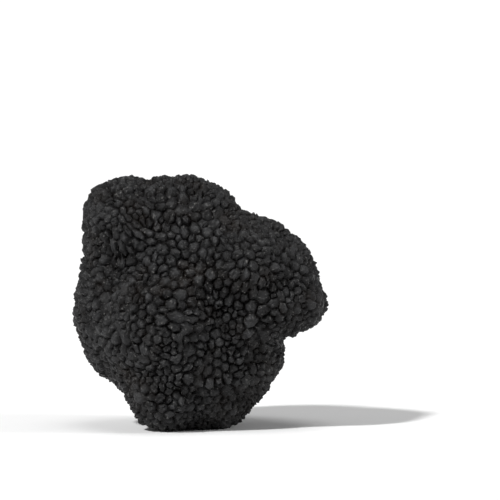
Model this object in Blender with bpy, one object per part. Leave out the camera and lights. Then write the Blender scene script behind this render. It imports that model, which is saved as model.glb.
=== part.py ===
"""One whole black truffle: a lobed tuber about 30 mm across, covered with low polygonal warts.

Metres, +Z up. The side seen from the front faces -Y. The origin lies on the surface that the truffle
rests on, under the middle of its box. The truffle grew as one piece, so it is one solid, and the only
flat place is the small patch of rind that it rests on.
"""

import math

import bmesh
import bpy
import numpy as np
from mathutils import Vector, kdtree, noise

MM = 0.001

# Overall size
WIDTH = 30.0 * MM
DEPTH = 26.6 * MM
HEIGHT = 29.8 * MM

# Rind. The warts grow wider on some stretches than on others.
WART_WIDTH = 1.26 * MM
WART_WIDTH_SPREAD = 0.3
STRETCH_LENGTH = 4.0 * MM
WART_HEIGHT = 0.34 * MM
WART_HEIGHT_SPREAD = 0.35
WART_LEAN = 0.25

# Uneven swelling of the flesh under the warts: height, and length from one swell to the next
SWELLS = ((0.45 * MM, 5.0 * MM), (0.2 * MM, 2.3 * MM))

# The lobes that the tuber grew by, each an ellipsoid: centre and half sizes, in millimetres
LOBES_MM = {
    "core": ((-2.6, 0.0, 16.2), (6.8, 10.6, 13.0)),
    "crown": ((-8.0, -1.6, 23.9), (5.6, 6.6, 5.5)),
    "crown_corner": ((-9.8, -1.2, 25.6), (3.2, 4.8, 3.4)),
    "crest": ((0.0, -0.6, 24.3), (4.3, 5.8, 4.5)),
    "left_flank": ((-9.7, 0.8, 14.6), (5.1, 8.4, 9.0)),
    "right_lip": ((4.7, -0.8, 15.2), (8.7, 7.2, 3.8)),
    "lip_end": ((10.6, -0.8, 14.8), (3.2, 5.2, 3.0)),
    "right_shoulder": ((2.7, 0.4, 18.1), (10.8, 9.6, 7.2)),
    "front_swell": ((-4.4, -7.0, 13.2), (6.2, 5.8, 6.8)),
    "front_shoulder": ((4.2, -6.0, 19.2), (5.2, 5.4, 4.8)),
    "front_cheek": ((7.4, -4.4, 14.4), (4.7, 4.8, 3.4)),
    "back_swell": ((3.6, 7.0, 13.4), (6.4, 5.8, 6.6)),
    "back_crown": ((-4.6, 5.8, 20.6), (6.2, 6.0, 6.6)),
    "under_lip": ((6.9, -0.6, 8.1), (2.6, 3.4, 1.6)),
    "foot": ((-0.4, 0.2, 10.4), (9.5, 9.6, 11.0)),
    "toe": ((-4.4, -4.6, 7.3), (4.8, 5.4, 6.8)),
    "heel": ((1.4, 4.8, 7.5), (5.4, 5.6, 6.8)),
}
LOBE_BLEND = 0.75 * MM

# Hollows and folds pressed in between the lobes: centre, half sizes and depth, in millimetres
HOLLOWS_MM = {
    "lip_fold": ((11.5, -0.5, 10.8), (3.5, 7.0, 1.3), 1.1),
    "front_hollow": ((4.4, -10.5, 15.6), (3.2, 4.0, 2.2), 0.6),
    "front_fold": ((1.0, -12.0, 11.0), (1.3, 4.0, 5.0), 0.8),
    "crown_fold": ((-2.6, -8.0, 22.0), (1.5, 5.0, 4.0), 0.8),
    "left_fold": ((-11.5, 7.0, 17.0), (5.0, 4.0, 1.8), 0.8),
    "back_fold": ((-1.0, 12.0, 12.0), (1.6, 4.0, 6.0), 1.0),
    "back_hollow": ((7.5, 9.0, 18.0), (3.0, 4.0, 2.4), 0.7),
}

# A point inside the truffle from which all of its rind can be seen in straight lines
HEART = np.array([-0.8, 0.0, 13.6]) * MM
FARTHEST_RIND = 25.0 * MM
SEARCH_ROUNDS = 24

# How the warts are strewn: over a surface that is measured in many directions, then relaxed
SEED = 20
ROUGH_DIRECTIONS = 6000
SAMPLES_PER_WART = 30
RELAXING_ROUNDS = 3

RIND_COLOUR = (0.022, 0.019, 0.019, 1.0)
RIND_ROUGHNESS = 0.55


def clear_scene():
    for obj in list(bpy.data.objects):
        bpy.data.objects.remove(obj)


def unit(vectors):
    return vectors / np.linalg.norm(vectors, axis=1)[:, None]


def unevenness(points, length):
    """Smooth noise between -1 and 1 that changes over the given length."""
    return np.array([noise.noise(Vector(point) / length) for point in points])


def outside_by(points):
    """How far each point lies outside the lobes, which run smoothly into each other."""
    nearness = np.zeros(len(points))
    for centre, half_size in LOBES_MM.values():
        half_size = np.array(half_size) * MM
        reach = np.linalg.norm((points - np.array(centre) * MM) / half_size, axis=1)
        nearness += np.exp((1 - reach) * half_size.min() / LOBE_BLEND)
    return -LOBE_BLEND * np.log(nearness)


def flesh(directions):
    """The smooth surface under the warts, met from the heart in each direction."""
    near = np.zeros(len(directions))
    far = np.full(len(directions), FARTHEST_RIND)
    for _ in range(SEARCH_ROUNDS):
        middle = (near + far) / 2
        inside = outside_by(HEART + directions * middle[:, None]) < 0
        near = np.where(inside, middle, near)
        far = np.where(inside, far, middle)
    points = HEART + directions * near[:, None]
    swell = sum(height * unevenness(points, length) for height, length in SWELLS)
    for centre, half_size, depth in HOLLOWS_MM.values():
        reach = (points - np.array(centre) * MM) / (np.array(half_size) * MM)
        swell -= depth * MM * np.exp(-(reach**2).sum(axis=1))
    return points + directions * swell[:, None]


def triangulated(directions):
    """The triangles that join points on a sphere, wound to face out."""
    ball = bmesh.new()
    for direction in directions:
        ball.verts.new(direction)
    ball.verts.ensure_lookup_table()
    bmesh.ops.convex_hull(ball, input=ball.verts)
    triangles = np.array([[v.index for v in face.verts] for face in ball.faces])
    ball.free()
    a, b, c = (directions[triangles[:, k]] for k in range(3))
    turned_in = (np.cross(b - a, c - a) * (a + b + c)).sum(axis=1) < 0
    triangles[turned_in] = triangles[turned_in][:, ::-1]
    return triangles


def spread_over_surface(random):
    """Directions as densely spread over the surface as the warts are, and how many warts there are."""
    directions = unit(random.normal(size=(ROUGH_DIRECTIONS, 3)))
    triangles = triangulated(directions)
    corners = flesh(directions)[triangles]
    across = np.cross(corners[:, 1] - corners[:, 0], corners[:, 2] - corners[:, 0])
    areas = np.linalg.norm(across, axis=1) / 2

    widths = WART_WIDTH * (1 + WART_WIDTH_SPREAD * unevenness(corners[:, 0], STRETCH_LENGTH))
    warts = areas / (math.sqrt(3) / 2 * widths**2)
    wart_count = round(warts.sum())
    chosen = random.choice(len(warts), wart_count * SAMPLES_PER_WART, p=warts / warts.sum())
    weights = random.dirichlet((1, 1, 1), len(chosen))
    samples = (corners[chosen] * weights[:, :, None]).sum(axis=1)
    return unit(samples - HEART), wart_count


def wart_directions(random):
    """Where the warts' tips stand, crowded evenly as warts that push against each other are."""
    spread, wart_count = spread_over_surface(random)
    samples = flesh(spread)
    tips = samples[:wart_count]
    for _ in range(RELAXING_ROUNDS):
        tree = kdtree.KDTree(len(tips))
        for index, tip in enumerate(tips):
            tree.insert(tip, index)
        tree.balance()
        nearest = np.array([tree.find(sample)[1] for sample in samples])
        total = np.zeros_like(tips)
        np.add.at(total, nearest, samples)
        owned = np.maximum(np.bincount(nearest, minlength=len(tips)), 1)
        tips = flesh(unit(total / owned[:, None] - HEART))
    return unit(tips - HEART)


def neighbours_across(triangles):
    """For each edge of the triangles: its two ends, and the triangles on its left and right."""
    left_of = {}
    for index, (a, b, c) in enumerate(triangles):
        left_of[a, b] = left_of[b, c] = left_of[c, a] = index
    return [(a, b, left, left_of[b, a]) for (a, b), left in left_of.items() if a < b]


def warty_rind(random):
    """Points and triangles of the rind: each wart is a fan, from its tip to the groove around it."""
    directions = wart_directions(random)
    triangles = triangulated(directions)
    feet = flesh(directions)
    corners = flesh(unit(directions[triangles].sum(axis=1)))

    edges = neighbours_across(triangles)
    rims = [[] for _ in feet]
    faces = []
    for a, b, left, right in edges:
        left_corner, right_corner = len(feet) + left, len(feet) + right
        faces.append((a, right_corner, left_corner))
        faces.append((b, left_corner, right_corner))
        rims[a] += [left, right]
        rims[b] += [left, right]

    tips = np.zeros_like(feet)
    for index, rim in enumerate(rims):
        around = corners[rim]
        centre = around.mean(axis=0)
        spans = around - centre
        outward = np.linalg.svd(spans, full_matrices=False)[2][2]
        outward *= np.sign(outward @ directions[index])
        size = np.linalg.norm(spans, axis=1).mean() / (WART_WIDTH / 2)
        height = WART_HEIGHT * size * (1 + WART_HEIGHT_SPREAD * random.uniform(-1, 1))
        lean = spans[random.integers(len(spans))] * WART_LEAN * random.uniform(0, 1)
        tips[index] = centre + lean + outward * height
    return np.vstack([tips, corners]), faces


def to_size(points):
    """Presses the foot flat at the height of the origin, and gives the truffle's box its size."""
    low, high = points.min(axis=0), points.max(axis=0)
    middle = (low + high) / 2
    points = points - [middle[0], middle[1], 0.0]
    points[:, 2] = np.maximum(points[:, 2], 0.0)
    return points * [WIDTH, DEPTH, HEIGHT] / [*(high - low)[:2], high[2]]


def rind_material():
    material = bpy.data.materials.new("black_rind")
    material.use_nodes = True
    shader = material.node_tree.nodes["Principled BSDF"]
    shader.inputs["Base Color"].default_value = RIND_COLOUR
    shader.inputs["Roughness"].default_value = RIND_ROUGHNESS
    shader.inputs["Metallic"].default_value = 0.0
    return material


def truffle():
    random = np.random.default_rng(SEED)
    points, faces = warty_rind(random)
    mesh = bpy.data.meshes.new("truffle")
    mesh.from_pydata(to_size(points).tolist(), [], faces)
    mesh.materials.append(rind_material())
    obj = bpy.data.objects.new("truffle", mesh)
    bpy.context.scene.collection.objects.link(obj)
    return obj


def main():
    clear_scene()
    truffle()


main()
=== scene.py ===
"""A black truffle on a pale studio floor, seen as in the photograph.

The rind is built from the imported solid's own warts: each is lowered onto the flesh, cut finer, and raised
again as a low worn pyramid whose sides are chipped into facets and roughened by grit. Metres, +Z up.
"""

import math

import bmesh
import bpy
import numpy as np
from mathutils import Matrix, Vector, noise


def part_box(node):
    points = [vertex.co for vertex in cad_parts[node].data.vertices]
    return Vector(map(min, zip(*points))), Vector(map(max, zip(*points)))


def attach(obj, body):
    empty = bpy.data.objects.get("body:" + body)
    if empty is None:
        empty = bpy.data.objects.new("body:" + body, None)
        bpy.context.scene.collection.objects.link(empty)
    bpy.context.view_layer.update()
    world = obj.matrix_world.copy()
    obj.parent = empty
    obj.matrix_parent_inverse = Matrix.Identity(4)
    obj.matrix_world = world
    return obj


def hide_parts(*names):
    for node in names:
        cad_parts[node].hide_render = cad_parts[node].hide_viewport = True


MM = 0.001
SEED = 7

# The photograph, in pixels: its side, and the left edge, right edge and foot of the truffle in it
PICTURE_SIDE = 500
TRUFFLE_LEFT, TRUFFLE_RIGHT, TRUFFLE_FOOT = 72, 327, 428

# The camera: its distance, its angle above the floor in degrees, its sensor's width in millimetres, and
# how near and how far it sees
CAMERA_DISTANCE = 0.8
CAMERA_ELEVATION = 3.5
SENSOR_WIDTH = 36.0
NEAREST_SEEN, FARTHEST_SEEN = 0.1, 100.0

# The solid's mesh: points nearer to each other than the weld are joined, a point that stands out by more
# than the least tip from the middle of its neighbours is a wart's tip, and each edge is cut this often
WELD = 0.0005 * MM
LEAST_TIP = 0.05 * MM
CUTS = 3

# Warts: low pyramids with worn tops. Each keeps this share of its height on the solid, and its top begins
# at a share of the way from its rim to its tip. A dimple is a share of the height that is left, and the
# ease makes the dimples of narrow tops shallower.
WORN_TO = 0.75
TOP_BEGINS = (0.3, 0.75)
DEEPEST_DIMPLE = 0.2
DIMPLE_EASE = 0.1

# Between warts: grooves, or a seam between two that have grown together, raised by a share of their height.
# Neighbours join with this chance, as long as no clump gets more warts than the largest.
GROOVE_DEPTH = 0.13 * MM
SEAM_RISE = 0.15
JOINING = 0.2
LARGEST_CLUMP = 2

# Irregularity of the rind: how far it moves the points, and over what length. Grit moves each on its own.
WANDER = (0.12 * MM, 0.8 * MM)
SWELL = (0.34 * MM, 1.9 * MM)
GRIT = 0.035 * MM

# Chips: flat facets that the rind is broken into, each tilted and stepped its own way. The noise for that
# is read with their middles spread this many times farther apart, so that neighbours are unlike.
CHIP_LENGTH = 0.6 * MM
CHIP_TILT = 0.8
CHIP_STEP = 0.06 * MM
TILT_SPREAD = 17.3
STEP_SPREAD = 31.7

# Edges of the rind that bend by more than this are shaded sharp
SHARP_ANGLE = math.radians(10)

# A chart of the UV map is this many times as wide as the side of the cube that it shows
CHART_MARGIN = 1.12

# Colours of the rind
# Painted shade: the grooves' brown is darker than the black sides, as shade lying in the grooves
SHADED_GROOVE_BROWN = (0.002, 0.0013, 0.0011, 1.0)
RIND_BLACK = (0.004, 0.0037, 0.004, 1.0)
WORN_GREY = (0.026, 0.026, 0.027, 1.0)
DRY_BROWN = (0.012, 0.0085, 0.0065, 1.0)
# Painted glints: pale specks that stand in for glints on the wet rind
PAINTED_GLINT = (0.095, 0.092, 0.088, 1.0)

# Lengths over which the rind's colour, roughness and pits change, how deep the pits are, and how rough it is
DRY_PATCH = 4.5 * MM
DUST = 2.4 * MM
WEAR = 0.9 * MM
SHEEN = 0.4 * MM
GLINT_SIZE = 0.3 * MM
PIT = 0.22 * MM
PIT_DEPTH = 0.09 * MM
RIND_ROUGHNESS = (0.28, 0.6)

FLOOR_RADIUS = 14.0
FLOOR_SIDES = 96
FLOOR_WHITE = (0.9, 0.9, 0.9, 1.0)

# Light from all around: a bright wall up to a low angle, given as its sine, which has faded into a dimmer
# ceiling at twice that sine
WALL_TOP = 0.06
WALL_STRENGTH = 1.05
SKY_STRENGTH = 0.2

# Suns: azimuth and elevation in degrees, strength, and spread in degrees
SUNS = {
    "key": (-40, 42, 3.1, 5),
    "top": (20, 80, 0.8, 30),
    "rim": (75, 30, 0.7, 12),
}

# The Mix node's sockets for colours, by their places, as its sockets for numbers have the same names
MIX_FACTOR, MIX_FIRST, MIX_SECOND, MIX_RESULT = 0, 6, 7, 2


def random_by_wart(count, low, high, seed):
    return np.random.default_rng(seed).uniform(low, high, count)


def noise_shift(seed):
    return Vector((seed, 2 * seed, 3 * seed))


def noise_at(points, length, seed):
    return np.array([noise.noise(Vector(p) / length + noise_shift(seed)) for p in points])


def vector_noise_at(points, length, seed):
    return np.array([noise.noise_vector(Vector(p) / length + noise_shift(seed)) for p in points])


def lowered_warts(solid):
    """The solid's mesh, cut finer, with each wart's tip let down onto the flesh, and the count of warts.

    Its points remember how near they are to a tip and that share of the tip's height, and its faces which
    wart they belong to. Wart 0, which is counted too, is for the faces between warts.
    """
    cage = bmesh.new()
    cage.from_mesh(solid.data)
    bmesh.ops.remove_doubles(cage, verts=cage.verts, dist=WELD)
    cage.normal_update()
    lift = cage.verts.layers.float.new("lift")
    tipness = cage.verts.layers.float.new("tipness")
    wart = cage.faces.layers.int.new("wart")

    heights = {}
    for point in cage.verts:
        ring = [edge.other_vert(point).co for edge in point.link_edges]
        height = (point.co - sum(ring, Vector()) / len(ring)).dot(point.normal)
        if height > LEAST_TIP:
            heights[point] = height
    for number, (point, height) in enumerate(heights.items(), 1):
        point[lift] = height
        point[tipness] = 1.0
        point.co -= point.normal * height
        for face in point.link_faces:
            face[wart] = number

    bmesh.ops.subdivide_edges(cage, edges=cage.edges[:], cuts=CUTS, use_grid_fill=True)
    bmesh.ops.triangulate(cage, faces=cage.faces[:])
    cage.normal_update()
    return cage, len(heights) + 1


def at_points(cage, layer_name):
    """What each of the cage's points remembers in a layer. The layer is then taken off."""
    layer = cage.verts.layers.float[layer_name]
    values = np.array([v[layer] for v in cage.verts])
    cage.verts.layers.float.remove(layer)
    return values


def clumps(cage, wart_count):
    """The clump that each wart belongs to."""
    wart = cage.faces.layers.int["wart"]
    pairs = sorted({tuple(sorted(face[wart] for face in edge.link_faces)) for edge in cage.edges})
    random = np.random.default_rng(SEED + 4)
    clump = np.arange(wart_count)
    for first, second in random.permutation(pairs):
        joined = (clump == clump[first]) | (clump == clump[second])
        if joined.sum() <= LARGEST_CLUMP and random.random() < JOINING:
            clump[joined] = clump[first]
    return clump


def rim_rises(cage, nearness, heights, clump):
    """How far each point on a wart's rim lies above the flesh: sunk in a groove, raised along a seam."""
    wart = cage.faces.layers.int["wart"]
    rise = np.zeros(len(nearness))
    for index, vertex in enumerate(cage.verts):
        if nearness[index] > 0:
            continue
        around = [face[wart] for face in vertex.link_faces]
        if len(set(clump[around])) == 1:
            rise[index] = SEAM_RISE * heights[around].mean()
        else:
            rise[index] = -GROOVE_DEPTH
    return rise


def chips(points):
    """How far each point stands off the surface on the tilted facet that it lies on."""
    rise = np.empty(len(points))
    for index, point in enumerate(points):
        place = Vector(point) / CHIP_LENGTH
        middle = noise.voronoi(place)[1][0]
        turn = noise.noise_vector(middle * TILT_SPREAD)
        tilt = turn.dot(place - middle) * CHIP_LENGTH * CHIP_TILT
        rise[index] = tilt + noise.noise(middle * STEP_SPREAD) * CHIP_STEP
    return rise


def raise_warts(cage, wart_count, warts):
    """Moves the cage's points to where the finished rind lies, and returns how far each was raised."""
    points = np.array([v.co for v in cage.verts])
    normals = np.array([v.normal for v in cage.verts])
    lifts = at_points(cage, "lift")
    nearness = at_points(cage, "tipness")
    top = random_by_wart(wart_count, *TOP_BEGINS, SEED)[warts]
    dimple = random_by_wart(wart_count, 0.0, DEEPEST_DIMPLE, SEED + 1)[warts]
    height = np.divide(WORN_TO * lifts, nearness, out=np.zeros_like(lifts), where=nearness > 0)
    heights = np.zeros(wart_count)
    np.maximum.at(heights, warts, height)

    rise = height * np.minimum(nearness / top, 1)
    rise -= height * dimple * np.clip((nearness - top) / (1 - top + DIMPLE_EASE), 0, 1)
    rise += rim_rises(cage, nearness, heights, clumps(cage, wart_count))

    wander, wander_length = WANDER
    points += vector_noise_at(points, wander_length, SEED) * wander
    swell, swell_length = SWELL
    rise += noise_at(points, swell_length, SEED) * swell
    rise += chips(points)
    rise += np.random.default_rng(SEED + 3).uniform(-GRIT, GRIT, len(rise))
    points += normals * rise[:, None]
    points[:, 2] = np.maximum(points[:, 2], 0.0)
    for vertex, point in zip(cage.verts, points):
        vertex.co = point
    return rise


def add_bake_map(mesh, heart):
    """A UV map of six charts, one for each side of a cube around the heart."""
    points = np.empty(len(mesh.vertices) * 3, np.float32)
    mesh.vertices.foreach_get("co", points)
    points = points.reshape(-1, 3) - heart
    corners = np.empty(len(mesh.loops), np.int32)
    mesh.loops.foreach_get("vertex_index", corners)
    triangles = corners.reshape(-1, 3)

    middles = points[triangles].mean(axis=1)
    axis = np.abs(middles).argmax(axis=1)
    negative = np.take_along_axis(middles, axis[:, None], 1)[:, 0] < 0
    corner_axis = np.repeat(axis, 3)
    seen = points[corners]
    reach = np.abs(np.take_along_axis(seen, corner_axis[:, None], 1))
    across = np.take_along_axis(seen, ((corner_axis + 1) % 3)[:, None], 1) / reach
    up = np.take_along_axis(seen, ((corner_axis + 2) % 3)[:, None], 1) / reach
    chart = np.arctan(np.hstack([across, up])) / (math.pi / 4) / CHART_MARGIN
    column = corner_axis[:, None]
    row = np.repeat(negative, 3)[:, None]
    place = (chart + 1) / 2
    uv = np.hstack([(place[:, :1] + column) / 3, (place[:, 1:] + row) / 2])
    layer = mesh.uv_layers.new(name="OFBake")
    layer.data.foreach_set("uv", uv.astype(np.float32).ravel())


def add_point_values(mesh, name, values):
    mesh.attributes.new(name, "FLOAT", "POINT").data.foreach_set("value", values.astype(np.float32))


def make_rind(solid):
    noise.seed_set(SEED)
    cage, wart_count = lowered_warts(solid)
    wart = cage.faces.layers.int["wart"]
    warts = np.array([v.link_faces[0][wart] for v in cage.verts])
    rise = raise_warts(cage, wart_count, warts)
    mesh = bpy.data.meshes.new("truffle_rind")
    cage.to_mesh(mesh)
    cage.free()
    mesh.shade_smooth()
    mesh.set_sharp_from_angle(angle=SHARP_ANGLE)
    add_point_values(mesh, "rise_mm", rise / MM)
    add_point_values(mesh, "wart_tone", random_by_wart(wart_count, 0.0, 1.0, SEED + 2)[warts])
    low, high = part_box(solid.name)
    add_bake_map(mesh, np.array((low + high) / 2))
    obj = bpy.data.objects.new("truffle_rind", mesh)
    bpy.context.scene.collection.objects.link(obj)
    return obj


def add_node(tree, kind, inputs=None, **settings):
    """Adds a shader node. A socket given for an input is linked to it, and any other value is set."""
    made = tree.nodes.new(kind)
    for name, value in settings.items():
        setattr(made, name, value)
    for name, value in (inputs or {}).items():
        if isinstance(value, bpy.types.NodeSocket):
            tree.links.new(value, made.inputs[name])
        else:
            made.inputs[name].default_value = value
    return made


def noise_node(tree, where, length, detail=4.0, roughness=0.55):
    return add_node(
        tree,
        "ShaderNodeTexNoise",
        {"Vector": where, "Scale": 1 / length, "Detail": detail, "Roughness": roughness},
    ).outputs["Fac"]


def span(tree, value, low, high, to_low=0.0, to_high=1.0):
    """The value, spread from one range to another and held inside it."""
    return add_node(
        tree,
        "ShaderNodeMapRange",
        {
            "Value": value,
            "From Min": low,
            "From Max": high,
            "To Min": to_low,
            "To Max": to_high,
        },
    ).outputs["Result"]


def laid_over(tree, under, over, value, begins, full, share=1.0):
    """One colour over another: none of it where the value begins, and this share of it where it is full."""
    factor = span(tree, value, begins, full, 0.0, share)
    inputs = {MIX_FACTOR: factor, MIX_FIRST: under, MIX_SECOND: over}
    return add_node(tree, "ShaderNodeMix", inputs, data_type="RGBA").outputs[MIX_RESULT]


def rind_colour(tree, where):
    """Brown grooves darkened with painted shade and black sides, then dry patches, worn and dusty greys, and
    pale specks painted as glints on top.
    """
    rise = add_node(tree, "ShaderNodeAttribute", attribute_name="rise_mm").outputs["Fac"]
    tone = add_node(tree, "ShaderNodeAttribute", attribute_name="wart_tone").outputs["Fac"]
    # Painted shade: the rind turns to the darker brown towards the grooves' bottoms
    colour = laid_over(tree, SHADED_GROOVE_BROWN, RIND_BLACK, rise, begins=-0.2, full=0.15)
    patches = noise_node(tree, where, DRY_PATCH)
    colour = laid_over(tree, colour, DRY_BROWN, patches, begins=0.5, full=0.72, share=0.6)
    worn = noise_node(tree, where, WEAR)
    worn = add_node(tree, "ShaderNodeMath", {0: rise, 1: worn}, operation="MULTIPLY").outputs[0]
    colour = laid_over(tree, colour, WORN_GREY, worn, begins=0.1, full=0.3)
    colour = laid_over(tree, colour, WORN_GREY, tone, begins=0.6, full=1.0, share=0.3)
    dust = noise_node(tree, where, DUST)
    colour = laid_over(tree, colour, WORN_GREY, dust, begins=0.48, full=0.68, share=0.55)
    # Painted glints: small pale specks scattered over the rind
    painted_glints = noise_node(tree, where, GLINT_SIZE, detail=2.0)
    return laid_over(tree, colour, PAINTED_GLINT, painted_glints, begins=0.64, full=0.72)


def rind_material():
    material = bpy.data.materials.new("black_rind")
    material.use_nodes = True
    tree = material.node_tree
    shader = tree.nodes["Principled BSDF"]
    where = tree.nodes.new("ShaderNodeTexCoord").outputs["Object"]
    tree.links.new(rind_colour(tree, where), shader.inputs["Base Color"])

    sheen = noise_node(tree, where, SHEEN, detail=3.0)
    tree.links.new(span(tree, sheen, 0.3, 0.7, *RIND_ROUGHNESS), shader.inputs["Roughness"])

    pits = noise_node(tree, where, PIT, detail=4.0, roughness=0.6)
    bump = add_node(tree, "ShaderNodeBump", {"Height": pits, "Strength": 1.0, "Distance": PIT_DEPTH})
    tree.links.new(bump.outputs["Normal"], shader.inputs["Normal"])
    shader.inputs["Specular IOR Level"].default_value = 0.2
    return material


def floor_material():
    material = bpy.data.materials.new("pale_floor")
    material.use_nodes = True
    shader = material.node_tree.nodes["Principled BSDF"]
    shader.inputs["Base Color"].default_value = FLOOR_WHITE
    shader.inputs["Roughness"].default_value = 0.9
    shader.inputs["Specular IOR Level"].default_value = 0.1
    return material


def make_floor():
    disc = bmesh.new()
    bmesh.ops.create_circle(disc, cap_ends=True, radius=FLOOR_RADIUS, segments=FLOOR_SIDES)
    mesh = bpy.data.meshes.new("floor")
    disc.to_mesh(mesh)
    disc.free()
    mesh.materials.append(floor_material())
    obj = bpy.data.objects.new("floor", mesh)
    bpy.context.scene.collection.objects.link(obj)


def direction_from(azimuth, elevation):
    """The direction at an azimuth and elevation in degrees. Azimuth 0 is -Y, the front, and 90 is +X."""
    azimuth, elevation = math.radians(azimuth), math.radians(elevation)
    level = math.cos(elevation)
    return Vector((math.sin(azimuth) * level, -math.cos(azimuth) * level, math.sin(elevation)))


def add_soft_sun(name, azimuth, elevation, strength, spread):
    lamp = bpy.data.lights.new(name, "SUN")
    lamp.energy = strength
    lamp.angle = math.radians(spread)
    obj = bpy.data.objects.new(name, lamp)
    obj.rotation_euler = direction_from(azimuth, elevation).to_track_quat("Z", "Y").to_euler()
    bpy.context.scene.collection.objects.link(obj)


def light_studio():
    world = bpy.data.worlds.new("studio")
    world.use_nodes = True
    tree = world.node_tree
    background = tree.nodes["Background"]
    background.inputs["Color"].default_value = (1.0, 1.0, 1.0, 1.0)
    towards = tree.nodes.new("ShaderNodeTexCoord").outputs["Generated"]
    height = add_node(tree, "ShaderNodeSeparateXYZ", {"Vector": towards}).outputs["Z"]
    strength = span(tree, height, WALL_TOP, 2 * WALL_TOP, WALL_STRENGTH, SKY_STRENGTH)
    tree.links.new(strength, background.inputs["Strength"])
    bpy.context.scene.world = world
    for name, settings in SUNS.items():
        add_soft_sun(name, *settings)
    bpy.context.scene.view_settings.view_transform = "Standard"


def place_camera():
    """Looks from the photograph's angle, so that the truffle is as wide as it is there and in its place."""
    low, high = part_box("truffle")
    pixel = (high.x - low.x) / (TRUFFLE_RIGHT - TRUFFLE_LEFT)
    middle = PICTURE_SIDE / 2
    aside = middle - (TRUFFLE_LEFT + TRUFFLE_RIGHT) / 2
    aim = Vector((aside * pixel, 0.0, (TRUFFLE_FOOT - middle) * pixel))
    camera = bpy.data.cameras.new("camera")
    camera.sensor_width = SENSOR_WIDTH
    camera.lens = SENSOR_WIDTH * CAMERA_DISTANCE / (PICTURE_SIDE * pixel)
    camera.clip_start = NEAREST_SEEN
    camera.clip_end = FARTHEST_SEEN
    obj = bpy.data.objects.new("camera", camera)
    back = direction_from(0, CAMERA_ELEVATION)
    obj.location = aim + back * CAMERA_DISTANCE
    obj.rotation_euler = back.to_track_quat("Z", "Y").to_euler()
    bpy.context.scene.collection.objects.link(obj)
    bpy.context.scene.camera = obj


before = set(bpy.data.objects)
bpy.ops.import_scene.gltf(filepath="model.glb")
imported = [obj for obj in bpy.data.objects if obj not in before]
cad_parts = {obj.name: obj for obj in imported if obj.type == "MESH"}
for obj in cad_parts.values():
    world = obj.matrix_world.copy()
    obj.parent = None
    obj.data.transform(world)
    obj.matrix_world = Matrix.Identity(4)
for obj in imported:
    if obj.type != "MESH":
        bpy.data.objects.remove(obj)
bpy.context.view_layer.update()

rind = make_rind(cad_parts["truffle"])
rind.data.materials.append(rind_material())
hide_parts("truffle")
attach(rind, "root")

make_floor()
light_studio()
place_camera()
